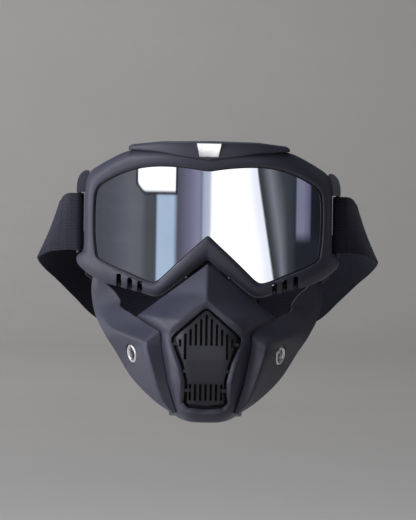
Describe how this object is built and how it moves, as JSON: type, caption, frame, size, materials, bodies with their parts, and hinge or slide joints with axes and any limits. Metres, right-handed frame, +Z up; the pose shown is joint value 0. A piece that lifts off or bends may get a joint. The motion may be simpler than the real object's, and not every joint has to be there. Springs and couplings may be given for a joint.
{
  "type": "motorcycle goggles",
  "caption": "Motorcycle goggles with a curved mirror lens, foam face seal, elastic head strap and a clip-on nose and mouth mask with a ribbed grille.",
  "frame": {"origin": "reference point in the middle of the face seal, level with the middle of the lens", "axes": "+X to the right as seen from the front, +Y from the lens back towards the head, +Z up"},
  "size_m": [0.2436, 0.196, 0.1934],
  "materials": {
    "frame_plastic": "soft-touch black",
    "mask_plastic": "fine-grained matte black",
    "hard_plastic": "plain black",
    "mirror_lens": "silver mirror coating on a dark lens",
    "rubber": "matte",
    "foam": "open-cell foam",
    "fleece": "napped fleece",
    "webbing": "ribbed elastic webbing",
    "filter_felt": "pressed felt",
    "bright_metal": "bright nickel"
  },
  "bodies": {
    "goggles": {"frame": "frame_plastic", "brow_cover": "frame_plastic", "badge": "bright_metal", "lens": "mirror_lens", "lens_gasket": "rubber", "face_foam": "foam", "foam_liner": "fleece", "upper_vent_foam": "foam", "lower_vent_foam_left": "foam", "lower_vent_foam_right": "foam", "outrigger_left": "frame_plastic", "outrigger_right": "frame_plastic", "strap_end_left": "webbing", "strap_end_right": "webbing", "nose_foam": "foam"},
    "mask": {"mask_shell": "mask_plastic", "cheek_panel_left": "mask_plastic", "cheek_panel_right": "mask_plastic", "grille": "mask_plastic", "filter_pad": "filter_felt", "filter_retainer": "hard_plastic", "rivet_left": "bright_metal", "rivet_right": "bright_metal", "rivet_washer_left": "bright_metal", "rivet_washer_right": "bright_metal", "clip_left": "hard_plastic", "clip_right": "hard_plastic", "chin_pad": "foam"},
    "head_strap": {"strap": "webbing", "strap_grip_upper": "rubber", "strap_grip_lower": "rubber"},
    "slider_left": {"strap_slider_left": "hard_plastic"},
    "slider_right": {"strap_slider_right": "hard_plastic"}
  },
  "joints": [
    {"name": "mask_release", "type": "slide", "parent": "goggles", "child": "mask", "axis": [0, 0, -1], "range_m": [0, 0.06]},
    {"name": "strap_swing", "type": "hinge", "parent": "goggles", "child": "head_strap", "pos_m": [0, -0.005, -0.0012], "axis": [1, 0, 0], "range_deg": [0, 40]},
    {"name": "slider_left_travel", "type": "slide", "parent": "head_strap", "child": "slider_left", "axis": [-1, 0, 0], "range_m": [-0.008, 0.008]},
    {"name": "slider_right_travel", "type": "slide", "parent": "head_strap", "child": "slider_right", "axis": [1, 0, 0], "range_m": [-0.008, 0.008]}
  ]
}
